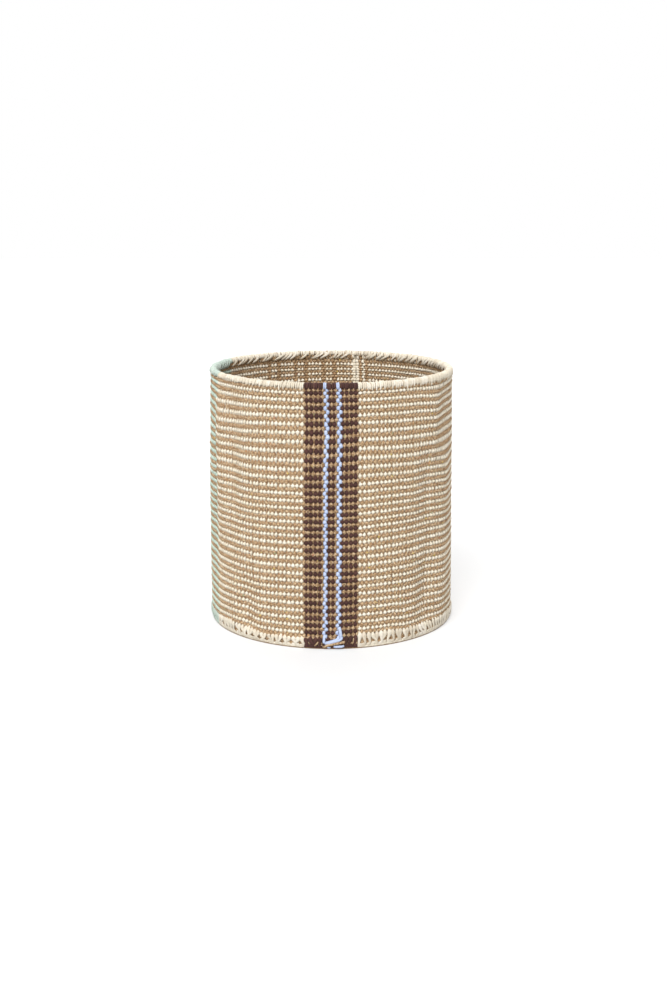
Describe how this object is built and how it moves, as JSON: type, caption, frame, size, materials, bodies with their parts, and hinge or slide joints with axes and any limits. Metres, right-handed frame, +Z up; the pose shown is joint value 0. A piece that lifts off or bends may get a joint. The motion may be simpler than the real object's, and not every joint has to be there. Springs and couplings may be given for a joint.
{
  "type": "woven basket",
  "caption": "Round open hand-woven yarn basket with a warp-faced wall, a striped front band, a turned-over rim, a plaited foot border and a flat cloth base.",
  "frame": {"origin": "centre of the flat face it stands on", "axes": "+Z up through the open mouth, the striped band towards -Y"},
  "size_m": [0.2574, 0.258, 0.266],
  "materials": {
    "cream_yarn": "matt cream cotton yarn, paired with tan yarn in the wall",
    "dark_yarn": "matt dark brown yarn, paired with tan yarn in the wall",
    "blue_yarn": "matt light blue yarn",
    "mint_yarn": "matt mint green yarn, paired with tan yarn in the wall",
    "tan_yarn": "matt tan recycled yarn with coloured flecks, also the partners of the cream, dark and mint warps"
  },
  "bodies": {
    "root": {"dark_left_wall": "dark_yarn", "dark_left_rim": "dark_yarn", "dark_left_border": "dark_yarn", "blue_left_wall": "blue_yarn", "blue_left_rim": "blue_yarn", "blue_left_border": "blue_yarn", "dark_centre_wall": "dark_yarn", "dark_centre_rim": "dark_yarn", "dark_centre_border": "dark_yarn", "blue_right_wall": "blue_yarn", "blue_right_rim": "blue_yarn", "blue_right_border": "blue_yarn", "dark_right_wall": "dark_yarn", "dark_right_rim": "dark_yarn", "dark_right_border": "dark_yarn", "natural_right_wall": "cream_yarn", "natural_right_rim": "cream_yarn", "natural_right_border": "cream_yarn", "seam_wall": "cream_yarn", "seam_rim": "cream_yarn", "seam_border": "cream_yarn", "natural_back_wall": "cream_yarn", "natural_back_rim": "cream_yarn", "natural_back_border": "cream_yarn", "mint_wall": "mint_yarn", "mint_rim": "mint_yarn", "mint_border": "mint_yarn", "natural_left_wall": "cream_yarn", "natural_left_rim": "cream_yarn", "natural_left_border": "cream_yarn", "rim_core": "tan_yarn", "base_disc": "cream_yarn"}
  },
  "joints": []
}
